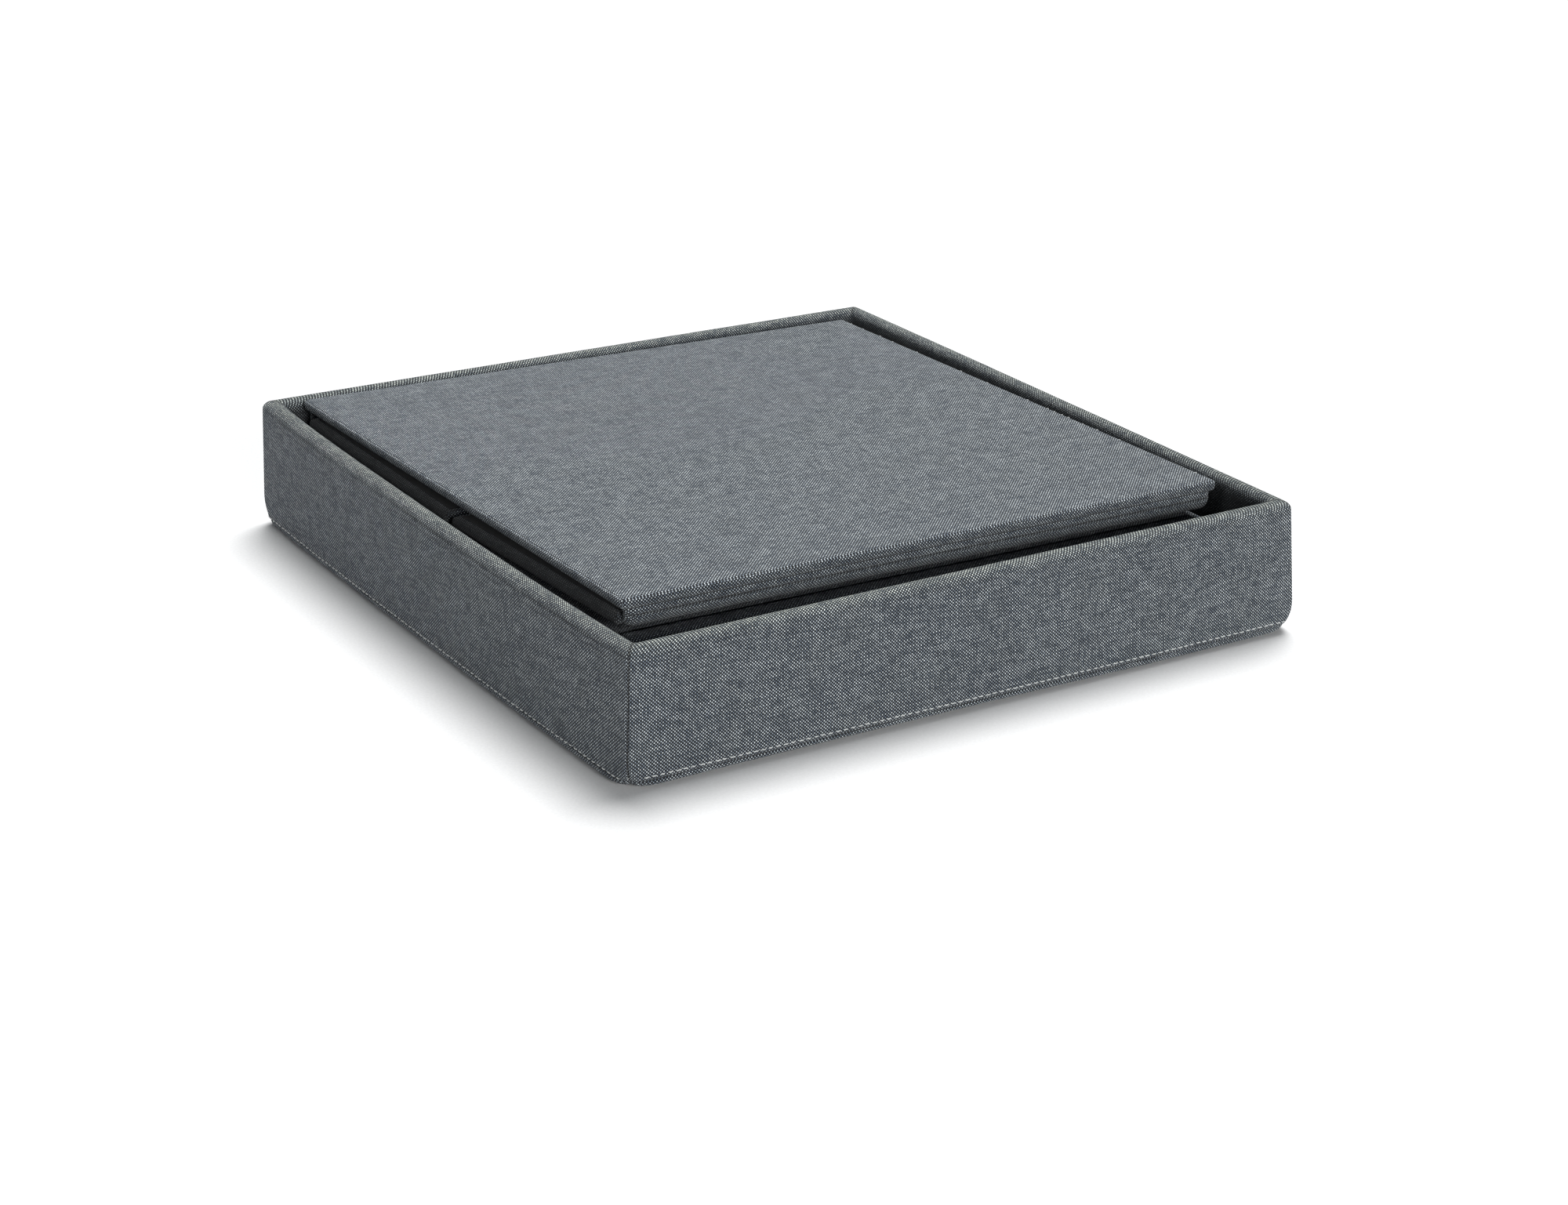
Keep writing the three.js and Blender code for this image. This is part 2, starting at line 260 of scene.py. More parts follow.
def sewing_thread():
    g = Graph("sewing_thread")
    u, v = g.weave_place()
    ply = g.math("SINE", g.math("MULTIPLY", g.math("ADD", u, v), 2 * math.pi / (0.45 * MM)))
    soil = g.noise(g.vector(u, v), 900.0)
    colour = g.mix(g.ramp(soil, 0.3, 0.7), *THREAD_TONES)
    g.bump(ply, 0.06 * MM, 0.8)
    return g.finish(colour, 0.55, sheen=0.2)


def raw_fibreboard():
    g = Graph("raw_fibreboard")
    place = g.node("ShaderNodeTexCoord").outputs["Object"]
    flecks = g.noise(place, 1400.0, 3.0, 0.7)
    stain = g.noise(place, 30.0, 3.0)
    tone = g.math("MULTIPLY_ADD", stain, 0.4, g.math("MULTIPLY", flecks, 0.6))
    colour = g.mix(g.ramp(tone, 0.3, 0.75), *BOARD_TONES)
    g.bump(flecks, 0.1 * MM, 0.5)
    return g.finish(colour, 0.8)


def open_cell_foam():
    g = Graph("open_cell_foam")
    place = g.node("ShaderNodeTexCoord").outputs["Object"]
    cells = g.node("ShaderNodeTexVoronoi")
    g.plug(place, cells.inputs["Vector"])
    g.plug(1500.0, cells.inputs["Scale"])
    pores = g.ramp(cells.outputs["Distance"], 0.1, 0.5)
    colour = g.mix(pores, *FOAM_TONES)
    g.bump(pores, 0.2 * MM, 0.7)
    return g.finish(colour, 0.95)


def studio_paper():
    g = Graph("studio_paper")
    place = g.node("ShaderNodeTexCoord").outputs["Object"]
    tooth = g.noise(place, 700.0, 3.0)
    colour = g.mix(g.ramp(tooth, 0.3, 0.7), *PAPER_TONES)
    return g.finish(colour, 0.8)


CLOTH_LOOK = melange_cloth()
LINING_LOOK = nonwoven_lining()
THREAD_LOOK = sewing_thread()
BOARD_LOOK = raw_fibreboard()
FOAM_LOOK = open_cell_foam()
PAPER_LOOK = studio_paper()

# ---------------------------------------------------------------- meshes


def add_mesh(name, points, faces, look, weave=None, tints=None):
    """A smooth-shaded object with its normals outwards. weave gives each point's place on the
    cloth in metres; without it, each face is laid flat along its own normal."""
    mesh = bpy.data.meshes.new(name)
    mesh.from_pydata([tuple(p) for p in points], [], [tuple(f) for f in faces])
    work = bmesh.new()
    work.from_mesh(mesh)
    bmesh.ops.recalc_face_normals(work, faces=work.faces)
    work.to_mesh(mesh)
    work.free()
    mesh.shade_smooth()
    mesh.materials.append(look)
    made = bpy.data.objects.new(name, mesh)
    bpy.context.scene.collection.objects.link(made)
    lay_weave(mesh, weave)
    for tint in ("rim", "seam"):
        values = (tints or {}).get(tint)
        if values is None:
            values = np.zeros(len(mesh.vertices))
        layer = mesh.attributes.new(tint, "FLOAT", "POINT")
        layer.data.foreach_set("value", np.asarray(values, np.float32).ravel())
    return made


def lay_weave(mesh, weave=None):
    """Fills the weave UV layer, in metres."""
    layer = mesh.uv_layers.new(name="weave")
    loops = np.empty(len(mesh.loops), np.int32)
    mesh.loops.foreach_get("vertex_index", loops)
    if weave is None:
        at = np.empty(len(mesh.vertices) * 3)
        mesh.vertices.foreach_get("co", at)
        at = at.reshape(-1, 3)
        normals = np.empty(len(mesh.polygons) * 3)
        mesh.polygons.foreach_get("normal", normals)
        totals = np.empty(len(mesh.polygons), np.int32)
        mesh.polygons.foreach_get("loop_total", totals)
        axis = np.repeat(np.abs(normals.reshape(-1, 3)).argmax(1), totals)
        first = np.where(axis == 0, 1, 0)
        second = np.where(axis == 2, 1, 2)
        place = at[loops]
        rows = np.arange(len(loops))
        uv = np.stack([place[rows, first], place[rows, second]], 1)
    else:
        uv = np.asarray(weave, float)[loops]
    layer.data.foreach_set("uv", uv.astype(np.float32).ravel())


def ring_faces(rings, width):
    """Quads between closed rings of width points, numbered ring by ring."""
    faces = []
    for r in range(rings - 1):
        for c in range(width):
            n = (c + 1) % width
            faces.append((r * width + c, r * width + n, (r + 1) * width + n, (r + 1) * width + c))
    return faces


def band(name, outer, inner, look, weave, tints=None):
    """A closed strip of cloth with thickness: outer and inner are rows x points x 3 arrays, one
    row for each step along the strip."""
    rows, count = outer.shape[:2]
    ring = np.concatenate([outer, inner[:, ::-1]], 1)
    width = 2 * count
    faces = ring_faces(rows, width)
    for r in (0, rows - 1):
        for c in range(count - 1):
            faces.append(
                tuple(r * width + k for k in (c, c + 1, width - 2 - c, width - 1 - c))
            )
    both = np.concatenate([weave, weave[:, ::-1]], 1).reshape(-1, 2)
    full = {}
    for key, values in (tints or {}).items():
        full[key] = np.concatenate([values, values[:, ::-1]], 1)
    return add_mesh(name, ring.reshape(-1, 3), faces, look, both, full)


def offset_path(path, distance):
    """The path moved to its left by distance."""
    step = np.gradient(path, axis=0)
    step /= np.maximum(np.linalg.norm(step, axis=1, keepdims=True), 1e-12)
    return path + distance * np.stack([-step[:, 1], step[:, 0]], 1)


def arc_length(path):
    steps = np.linalg.norm(np.diff(path, axis=0), axis=1)
    return np.concatenate([[0.0], np.cumsum(steps)])


def spread(start, end, step):
    """Evenly spaced values from start to end, about step apart."""
    return np.linspace(start, end, max(2, int(round(abs(end - start) / step)) + 1))


def edge_spread(low, high, margin, fine, coarse):
    """Values from low to high, closer together within margin of either end."""
    return np.concatenate(
        [
            spread(low, low + margin, fine)[:-1],
            spread(low + margin, high - margin, coarse),
            spread(high - margin, high, fine)[1:],
        ]
    )


def soft_box(name, low, high, edge, look, place, shape=None, corner=None, step=4 * MM):
    """A box with rounded edges, and corners rounded further in plan. shape moves its points,
    given as an array in the box's own frame, and place is that frame in the row frame."""
    corner = corner or edge
    low, high = np.array(low), np.array(high)
    margin = 1.6 * corner
    xs = edge_spread(low[0], high[0], margin, corner / 4, step)
    ys = edge_spread(low[1], high[1], margin, corner / 4, step)
    zs = spread(low[2], high[2], edge / 3)
    index = {}
    points = []

    def point(i, j, k):
        key = (i, j, k)
        if key not in index:
            index[key] = len(points)
            points.append((xs[i], ys[j], zs[k]))
        return index[key]

    last = (len(xs) - 1, len(ys) - 1, len(zs) - 1)
    faces = []
    for axis in range(3):
        a, b = [n for n in range(3) if n != axis]
        for side in (0, last[axis]):
            for m in range(last[a]):
                for n in range(last[b]):
                    quad = []
                    for dm, dn in ((0, 0), (1, 0), (1, 1), (0, 1)):
                        key = [0, 0, 0]
                        key[axis], key[a], key[b] = side, m + dm, n + dn
                        quad.append(point(*key))
                    faces.append(quad)
    at = np.array(points)
    # Round the plan's corners, then the edges.
    inner_low, inner_high = low[:2] + corner, high[:2] - corner
    core = np.clip(at[:, :2], inner_low, inner_high)
    away = at[:, :2] - core
    square = np.abs(away).max(1)
    length = np.maximum(np.linalg.norm(away, axis=1), 1e-12)
    plan = core + away * (square / length)[:, None]
    rim = np.clip((square - (corner - edge)) / edge, 0, 1)
    z_core = np.clip(at[:, 2], low[2] + edge, high[2] - edge)
    z_away = (at[:, 2] - z_core) / edge
    # Inside the edge's square section (rim, z_away), map the square to a quarter circle.
    reach = np.maximum(rim, np.abs(z_away))
    bent = np.hypot(rim, z_away)
    squeeze = np.where(bent > 1e-9, reach / np.maximum(bent, 1e-9), 1.0)
    direction = away / length[:, None]
    flat = plan - direction * (rim * edge)[:, None]
    at = np.column_stack(
        [
            flat + direction * (rim * squeeze * edge)[:, None],
            z_core + z_away * squeeze * edge,
        ]
    )
    if shape is not None:
        at = shape(at)
    placed_points = np.array([place @ Vector(p) for p in at])
    made = add_mesh(name, placed_points, faces, look, np.zeros((len(at), 2)))
    project_weave(made, at)
    return made


def project_weave(made, local):
    """Lays the weave flat on each side of a box, in the box's own frame."""
    mesh = made.data
    flat = bpy.data.meshes.new("flat")
    flat.from_pydata(
        [tuple(p) for p in local], [], [tuple(p.vertices) for p in mesh.polygons]
    )
    lay_weave(flat)
    uv = np.empty(len(mesh.loops) * 2, np.float32)
    flat.uv_layers["weave"].data.foreach_get("uv", uv)
    mesh.uv_layers["weave"].data.foreach_set("uv", uv)
    bpy.data.meshes.remove(flat)


def uneven(x, y, seed, wavelength):
    """Smooth noise from -1 to 1."""
    return noise.noise(Vector((x / wavelength, y / wavelength, seed * 7.77)))


def stitches(name, path, outwards, pitch, length, radius, sink, seed, keep=1.0, body=None):
    """A row of sewn stitches along path, a list of points with one outward direction each. Their
    ends dip by sink, and keep is the share of them that shows."""
    rng = random.Random(seed)
    path = np.asarray(path, float)
    outwards = np.asarray(outwards, float)
    run = arc_length(path)
    sides, parts = STITCH_SIDES, STITCH_PARTS
    points, faces, weave = [], [], []
    for start in np.arange(pitch / 2, run[-1] - length, pitch):
        if rng.random() > keep:
            continue
        slip = rng.uniform(-0.08, 0.08) * pitch
        size = length * rng.uniform(0.88, 1.05)
        lift = rng.uniform(-0.35, 0.35) * radius
        first = len(points)
        for k in range(parts + 1):
            t = k / parts
            where = start + slip + t * size
            centre = np.array([np.interp(where, run, path[:, a]) for a in range(3)])
            out = np.array([np.interp(where, run, outwards[:, a]) for a in range(3)])
            out /= np.linalg.norm(out)
            ahead = np.array([np.interp(where + MM, run, path[:, a]) for a in range(3)])
            along = ahead - centre
            along /= max(np.linalg.norm(along), 1e-12)
            side = np.cross(along, out)
            dip = math.sin(math.pi * t) ** 0.5
            r = radius * (0.45 + 0.55 * dip)
            centre = centre + out * (sink * (dip - 1) + lift + 0.4 * radius)
            for s in range(sides):
                angle = 2 * math.pi * s / sides
                points.append(centre + r * (math.cos(angle) * side + math.sin(angle) * out))
                weave.append((t * size, s / sides * 2 * math.pi * radius))
        for k in range(parts):
            for s in range(sides):
                a, b = first + k * sides + s, first + k * sides + (s + 1) % sides
                faces.append((a, b, b + sides, a + sides))
        faces.append([first + s for s in range(sides)])
        faces.append([first + parts * sides + s for s in range(sides)])
    made = add_mesh(name, points, faces, THREAD_LOOK, weave)
    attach(made, body)
    return made


# ---------------------------------------------------------------- the lid

# OUT and IN are the distances of the skirt's outer and inner face from the lid's middle.
_skirt_low, _skirt_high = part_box("skirt_cover_front")
OUT = -_skirt_low.y
IN = -_skirt_high.y
SEAM_Z = _skirt_low.z
RIM_Z = _skirt_high.z
FLOOR_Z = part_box("lid_lining")[1].z
RIM_RADIUS = (OUT - IN) / 2
UPRIGHT_RADIUS = 3 * MM
SEAT_RADIUS = 27 * MM
SEAT_BLEND = 17 * MM  # height at which the seat's corners run out into the upright ones
SEAT_ZONE = 8 * MM  # height below which the walls keep the seat's outline
SEAM_TUCK = 0.55 * MM  # how deep the cloth is drawn in at a corner seam

# In mm: how far each wall bows out in its middle, at the rim and at the seat; how far the corners
# spread at the seat; how far the seat's edge lifts between its corners; the depth of the ridges
# below the rim; and the height of the topstitching over the seam.
WALL_BOW = {"front": (0.2, 0.6), "right": (0.6, 1.6), "back": (0.3, 0.8), "left": (3.4, 2.4)}
CORNER_SPREAD = {"near": 0.3, "right": 4.6, "far": 0.0, "left": 0.8}
SEAT_LIFT = {"front": 1.8, "right": 0.4, "back": 0.4, "left": 1.6}
RIDGE_DEPTH = {"front": 0.22, "right": 0.4, "back": 0.3, "left": 0.8}
TOPSTITCH_RISE = {"front": 1.9, "right": 1.9, "back": 1.9, "left": 0.8}
TOPSTITCH_SHARE = 0.965  # share of each wall, from its middle to a corner, that is stitched
BOW_FADE = 30 * MM  # inside the walls, the bow runs out over this distance
WALL_TURN = {"front": 0, "right": 1, "back": 2, "left": 3}
WALL_OUTWARDS = {"front": (0, -1), "right": (1, 0), "back": (0, 1), "left": (-1, 0)}
CORNERS_OF = {
    "front": ("near", "right"),
    "right": ("right", "far"),
    "back": ("far", "left"),
    "left": ("left", "near"),
}
MITRE_GAP = 0.03 * MM


def skirt_path():
    """The section of one side, as (distance from the lid's middle, height): the hem at the
    seat seam, the outside, the rim, the inside."""
    hem = [(OUT - 2.2 * MM, SEAM_Z + 1.0 * MM), (OUT - 1.2 * MM, SEAM_Z + 0.1 * MM)]
    hem.append((OUT - 0.35 * MM, SEAM_Z + 0.1 * MM))
    hem.append((OUT - 0.05 * MM, SEAM_Z + 0.4 * MM))
    wall = [(OUT, z) for z in spread(SEAM_Z + 1.6 * MM, RIM_Z - 12 * MM, 1.9 * MM)[:-1]]
    wall += [(OUT, z) for z in spread(RIM_Z - 12 * MM, RIM_Z - RIM_RADIUS, 0.55 * MM)]
    middle = (OUT + IN) / 2
    rim = []
    for angle in np.linspace(0, math.pi, 17)[1:-1]:
        rim.append(
            (middle + RIM_RADIUS * math.cos(angle), RIM_Z - RIM_RADIUS * (1 - math.sin(angle)))
        )
    inside = [(IN, z) for z in spread(RIM_Z - RIM_RADIUS, FLOOR_Z + 0.3 * MM, 2.5 * MM)]
    return np.array(hem + wall + rim + inside)


def corner_round(z):
    """Plan radius of the lid's corners at height z."""
    t = clamp((SEAT_BLEND - z) / SEAT_BLEND)
    return UPRIGHT_RADIUS + (SEAT_RADIUS - UPRIGHT_RADIUS) * t * t


def lowness(z):
    """1 near the seat, 0 at the rim."""
    return 1 - clamp((z - SEAT_ZONE) / (RIM_Z - SEAT_ZONE))


def wall_bow(side, share, z):
    """How far a wall bows out; share is as for wall_point."""
    at_rim, at_seat = WALL_BOW[side]
    return (at_rim + (at_seat - at_rim) * lowness(z)) * MM * (1 - abs(share) ** 3)


def on_side(side, along, out, z):
    """A point given by its place along one wall, its distance from the middle, and its height."""
    local = {"front": (along, -out), "right": (out, along), "back": (-along, out)}
    local["left"] = (-out, -along)
    return (*local[side], z)


def rim_ridge(side, along, z):
    """The cloth is drawn over the board's edge and dips in two long lines below it."""
    depth = RIDGE_DEPTH[side] * MM
    below = RIM_Z - z + 0.9 * MM * uneven(along, 0.0, 40.0, 60 * MM)
    strength = 0.6 + 0.4 * uneven(along, 1.0, 41.0, 35 * MM)
    first = bell(below - 4.6 * MM, 0.8 * MM)
    second = 0.5 * bell(below - 8.2 * MM, 0.8 * MM)
    return -depth * strength * (first + second)


def wall_point(side, share, z, n, push=0.0, tuck=0.0):
    """A point of the lid's outline. share runs from -1 to 1 between the two mitres, and n is
    the distance from the middle of the lid to the straight part of the wall. push moves the
    point outwards, and tuck draws it in at a corner seam."""
    wide = clamp((n - IN) / (OUT - IN))
    along = share * (n - MITRE_GAP)
    gap = (1 - abs(share)) * n
    inward = tuck
    radius = max(corner_round(z) - (OUT - n), 0.5 * MM)
    span = radius * math.sin(math.pi / 4)
    if gap < span:
        t = 1 - gap / span
        turned = radius * (1 - math.cos(math.pi / 4)) * t * t
        inward += turned
        along -= math.copysign(turned * t, along)
    # The two walls that meet at a corner spread alike.
    low = lowness(z) * wide
    first, last = (0.5 * MM * CORNER_SPREAD[c] for c in CORNERS_OF[side])
    along += (last * (1 + share) - first * (1 - share)) * low
    along -= math.copysign(tuck, along)
    spread_out = (last * (1 + share) + first * (1 - share)) * low
    bow = wall_bow(side, share, z) * clamp((n - IN) / BOW_FADE + 1)
    return on_side(side, along, n - inward + push + bow + spread_out, z)


def skirt_point(side, reach, z, share, n):
    """The outline with the cloth's own ripples, puckers, ridges and corner seams."""
    along = share * n
    gap = (1 - abs(share)) * n
    ripple = 0.3 * MM * uneven(along, z, reach + 3.0, 45 * MM)
    ripple += 0.1 * MM * uneven(along, z * 2.5, reach + 9.0, 12 * MM)
    if n > (IN + OUT) / 2:
        foot = math.exp(-max(z - SEAM_Z, 0) / (3.5 * MM))
        pucker = 0.14 * MM * foot * math.sin(math.pi * along / STITCH_PITCH)
        push = ripple + pucker + rim_ridge(side, along, z)
    else:
        push = 0.5 * ripple
    push *= min(1.0, gap / (8 * MM))
    tuck = SEAM_TUCK * bell(gap, 0.8 * MM)
    return wall_point(side, share, z, n, push, tuck)


def skirt_side(side):
    """The cloth of one wall, with a painted highlight over the rim and painted shade in its seams, dips and
    inside.
    """
    path = skirt_path()
    inner = offset_path(path, CLOTH)
    run = arc_length(path)
    rim_at = run[np.argmax(path[:, 1])]
    shares = edge_spread(-1, 1, 16 * MM / OUT, 0.4 * MM / OUT, 2.4 * MM / OUT)
    rows_outer, rows_inner, weave, rim, seam = [], [], [], [], []
    reach = float(WALL_TURN[side])
    for share in shares:
        rows_outer.append([skirt_point(side, reach, z, share, n) for n, z in path])
        rows_inner.append([skirt_point(side, reach, z, share, n) for n, z in inner])
        weave.append([(share * OUT + reach, length) for length in run])
        gap = (1 - abs(share)) * OUT
        # Painted shade along the corner seams, and at 0.4 along the foot of the outer face by the seat seam.
        on_seam = bell(gap, 0.7 * MM)
        foot = np.exp(-np.maximum(path[:, 1] - SEAM_Z, 0) / (0.9 * MM)) * (path[:, 0] > IN + MM)
        # Painted highlight over the rim, fading over about 4.5 mm.
        rim.append(bell(run - rim_at, 4.5 * MM))
        tint = np.maximum(on_seam, 0.4 * foot)
        for k, (n, z) in enumerate(path):
            # Painted shade: the inside darkens below the rim, and the outside darkens in the dips of its ridges.
            if n < (IN + OUT) / 2:
                tint[k] = max(tint[k], 0.92 * clamp((RIM_Z - z - 0.5 * MM) / (6 * MM)))
            else:
                tint[k] = max(tint[k], -rim_ridge(side, share * OUT, z) / (1.1 * MM))
        seam.append(tint)
    made = band(
        f"skirt_{side}",
        np.array(rows_outer),
        np.array(rows_inner),
        CLOTH_LOOK,
        np.array(weave),
        {"rim": np.array(rim), "seam": np.array(seam)},
    )
    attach(made, "lid")
    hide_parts(f"skirt_cover_{side}")
    return made


def seat_section():
    """The section of the padded seat, as (inset from the lid's side, height): from the deck
    down inside the skirt, out under the seam, round the edge, and flat on the floor."""
    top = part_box("deck_board")[0].z - 0.15 * MM
    section = [(60 * MM, top), (12 * MM, top), (2 * MM, top), (1.2 * MM, top - 0.5 * MM)]
    section += [(1.2 * MM, z) for z in (14 * MM, 11 * MM, 8 * MM, SEAM_Z + 0.7 * MM)]
    section += [(0.8 * MM, SEAM_Z + 0.05 * MM), (0.25 * MM, SEAM_Z - 0.05 * MM)]
    section += [(0.0, SEAM_Z - 0.4 * MM), (-0.1 * MM, SEAM_Z - 1.1 * MM)]
    for angle in np.linspace(0.0, 0.5 * math.pi, 10):
        turned = (1 - math.cos(angle), 1 - math.sin(angle))
        section.append((5 * MM * turned[0] - 0.1 * MM, 2.9 * MM * turned[1] + 0.2 * MM))
    section += [(7 * MM, 0.15 * MM), (11 * MM, 0.05 * MM), (20 * MM, 0.0), (32 * MM, 0.0)]
    return section + [(inset * MM, 0.0) for inset in range(46, 190, 16)]


def seat_cushion():
    """The padded seat: gathered a little where it is sewn to the skirt, fuller between its
    corners than at them, and pressed flat where it lies on the floor."""
    shares = edge_spread(-1, 1, 24 * MM / OUT, 1.6 * MM / OUT, 4 * MM / OUT)[:-1]
    rings, weave, seam = [], [], []
    for inset, z in seat_section():
        ring = []
        for side in WALL_TURN:
            for share in shares:
                n = OUT - inset
                along = share * n
                rim = math.exp(-max(inset, 0) / (14 * MM))
                foot = 1 - min(z / SEAM_Z, 1.0)
                gather = 0.12 * MM * uneven(along, 0, WALL_TURN[side] + 60.0, 9 * MM)
                gather += 0.2 * MM * uneven(along, 0, WALL_TURN[side] + 66.0, 30 * MM)
                push = (gather - 0.5 * MM * abs(share) ** 6) * rim * (z < SEAM_Z)
                x, y, _ = wall_point(side, share, z, n, push)
                weight = clamp((0.5 - share) / 0.6) if side == "front" else 1.0
                lift = SEAT_LIFT[side] * MM * weight * (1 - abs(share) ** 6) * foot
                lift *= math.exp(-max(inset, 0) / (5 * MM))
                wave = abs(uneven(x, y, 70.0, 50 * MM)) * 0.25 * MM
                inner = min(1.0, max(inset - 4 * MM, 0) / (10 * MM)) * math.exp(-inset / (60 * MM))
                ring.append((x, y, z + lift + wave * inner * foot))
        rings.append(ring)
        # Painted shade along the seam where the seat meets the skirt.
        seam.append([0.5 * bell(z - SEAM_Z, 0.5 * MM)] * len(ring))
    width = len(rings[0])
    faces = ring_faces(len(rings), width)
    faces.append(range(width))
    faces.append([(len(rings) - 1) * width + c for c in range(width)])
    points = [p for ring in rings for p in ring]
    made = add_mesh("seat_cushion", points, faces, CLOTH_LOOK, None, {"seam": np.array(seam)})
    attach(made, "lid")
    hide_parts("seat_cover")
    return made


def seat_topstitch():
    """The light thread along the seam between the skirt and the seat, lower on the left, where
    the wall curves under more."""
    line, out = [], []
    for side in WALL_TURN:
        reach = float(WALL_TURN[side])
        z = SEAM_Z + TOPSTITCH_RISE[side] * MM
        for share in np.linspace(-TOPSTITCH_SHARE, TOPSTITCH_SHARE, 160):
            line.append(skirt_point(side, reach, z, share, OUT))
            out.append((*WALL_OUTWARDS[side], -0.25))
    line.append(line[0])
    out.append(out[0])
    return stitches(
        "seat_topstitch", line, out, STITCH_PITCH, STITCH_LENGTH, THREAD_RADIUS,
        0.3 * MM, 11, body="lid",
    )


def lid_floor():
    """The lining on the lid's floor, which follows the left wall's bow."""
    low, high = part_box("lid_lining")

    def shape(at):
        at = at.copy()
        for p in at:
            p[2] += 0.25 * MM * uneven(p[0], p[1], 5.0, 60 * MM)
            fade = clamp((-p[0] - IN) / BOW_FADE + 1)
            p[0] -= wall_bow("left", p[1] / IN, RIM_Z) * fade
        return at

    made = soft_box(
        "lid_floor_lining", low, high, LINING_SHEET_EDGE, LINING_LOOK, Matrix(), shape,
        step=6 * MM,
    )
    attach(made, "lid")
    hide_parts("lid_lining")
    return made


def skirt_board(side):
    """The board in one wall of the lid, sprung to the bow of the cloth around it."""
    node = f"skirt_board_{side}"
    low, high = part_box(node)
    across, length = (1, 0) if side in ("front", "back") else (0, 1)
    near, far = sorted((abs(low[across]), abs(high[across])))
    outer, inner, weave = [], [], []
    heights = spread(low.z, high.z, 10 * MM)
    for along in spread(low[length], high[length], 12 * MM):
        share = along / OUT
        outer.append([on_side(side, along, far + wall_bow(side, share, z), z) for z in heights])
        inner.append([on_side(side, along, near + wall_bow(side, share, z), z) for z in heights])
        weave.append([(along, z) for z in heights])
    made = band(f"{node}_sprung", np.array(outer), np.array(inner), BOARD_LOOK, np.array(weave))
    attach(made, "lid")
    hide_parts(node)
    return made


for _side in WALL_TURN:
    skirt_side(_side)
    skirt_board(_side)
seat_cushion()
seat_topstitch()
lid_floor()

# ---------------------------------------------------------------- the folded box's frames


def joint(name):
    return next(j for j in frame["joints"] if j["name"] == name)


def pivot(name):
    return Vector(joint(name)["pos_m"])


def stack_frame():
    """x along the hinges, y across them, z up through the folded panels."""
    x = Vector(joint("near_lower_fold")["axis"]).normalized()
    y = (pivot("far_lower_fold") - pivot("near_lower_fold")).normalized()
    turned = Matrix((x, y, x.cross(y))).transposed().to_4x4()
    turned.translation = (pivot("far_lower_fold") + pivot("near_lower_fold")) / 2
    return turned


STACK = stack_frame()


def node_points(node):
    mesh = frame["nodes"][node].data
    at = np.empty(len(mesh.vertices) * 3)
    mesh.vertices.foreach_get("co", at)
    return at.reshape(-1, 3)


def board_frame(node):
    """The frame of a flat board: its longest side along x, its thickness along z, upwards."""
    at = np.unique(np.round(node_points(node), 6), axis=0)
    middle = (at.min(0) + at.max(0)) / 2
    _, _, axes = np.linalg.svd(at - at.mean(0))
    x = Vector(axes[0])
    z = Vector(axes[2])
    x = x if x.dot(STACK.to_3x3() @ Vector((1, 0, 0))) > 0 else -x
    z = z if z.z > 0 else -z
    turned = Matrix((x, z.cross(x), z)).transposed().to_4x4()
    turned.translation = Vector(middle)
    return turned


def extents(node, place):
    """Lowest and highest corner of a node in another frame."""
    back = place.inverted()
    at = np.array([back @ Vector(p) for p in node_points(node)])
    return at.min(0), at.max(0)


# ---------------------------------------------------------------- padded panels

PANEL_EDGE = 2.4 * MM
LINING_PROUD = 0.25 * MM  # how far a lining sheet stands out of the back of its panel


def panel_shape(low, high, faces_up, crown, seed):
    """Padding that swells the panel's cloth face and leaves its edges a little uneven."""

    def shape(at):
        at = at.copy()
        middle = (low[2] + high[2]) / 2
        for p in at:
            inset = min(p[0] - low[0], high[0] - p[0], p[1] - low[1], high[1] - p[1])
            swell = 1 - math.exp(-max(inset, 0) / (9 * MM))
            outer = (p[2] > middle) == faces_up
            up = 1 if p[2] > middle else -1
            wave = uneven(p[0], p[1], seed, 70 * MM) * 0.2 * MM
            p[2] += up * (crown * swell + wave * swell) if outer else 0.0
        return at

    return shape


def paint_base_end_shade(made, place, end):
    """Painted shade over the end of a half side that lies at the base of the box, fading over about 5 mm."""
    back = place.inverted()
    insets = np.array([(back @ v.co).x - end for v in made.data.vertices])
    base_end_shade = 0.93 * bell(np.maximum(insets, 0), 5 * MM)
    made.data.attributes["seam"].data.foreach_set("value", base_end_shade.astype(np.float32))


def panel(name, body, crown, seed, face=None, step=4 * MM):
    """A wall panel: cloth over its board, and a lining sheet over the back of it."""
    face = face or CLOTH_LOOK
    place = board_frame(f"{name}_board")
    low, high = extents(f"{name}_cover", place)
    lining_low, lining_high = extents(f"{name}_lining", place)
    faces_up = bool(lining_low[2] + lining_high[2] < low[2] + high[2])
    edge = min(PANEL_EDGE, 0.45 * (high[2] - low[2]))
    cover = soft_box(
        f"{name}_cloth", low, high, edge, face, place,
        panel_shape(low, high, faces_up, crown, seed), step=step,
    )
    # Painted shade on the base end of each half side.
    if name.endswith("_side"):
        paint_base_end_shade(cover, place, low[0])
    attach(cover, body)
    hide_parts(f"{name}_cover")

    proud = LINING_PROUD if faces_up else -LINING_PROUD
    lining_low[2] -= proud
    lining_high[2] -= proud

    def sheet_shape(at):
        at = at.copy()
        for p in at:
            p[2] += 0.12 * MM * uneven(p[0], p[1], seed + 7, 30 * MM)
        return at

    lining = soft_box(
        f"{name}_lining_sheet", lining_low, lining_high, LINING_SHEET_EDGE, LINING_LOOK, place,
        sheet_shape, step=6 * MM,
    )
    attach(lining, body)
    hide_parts(f"{name}_lining")
    return place, low, high


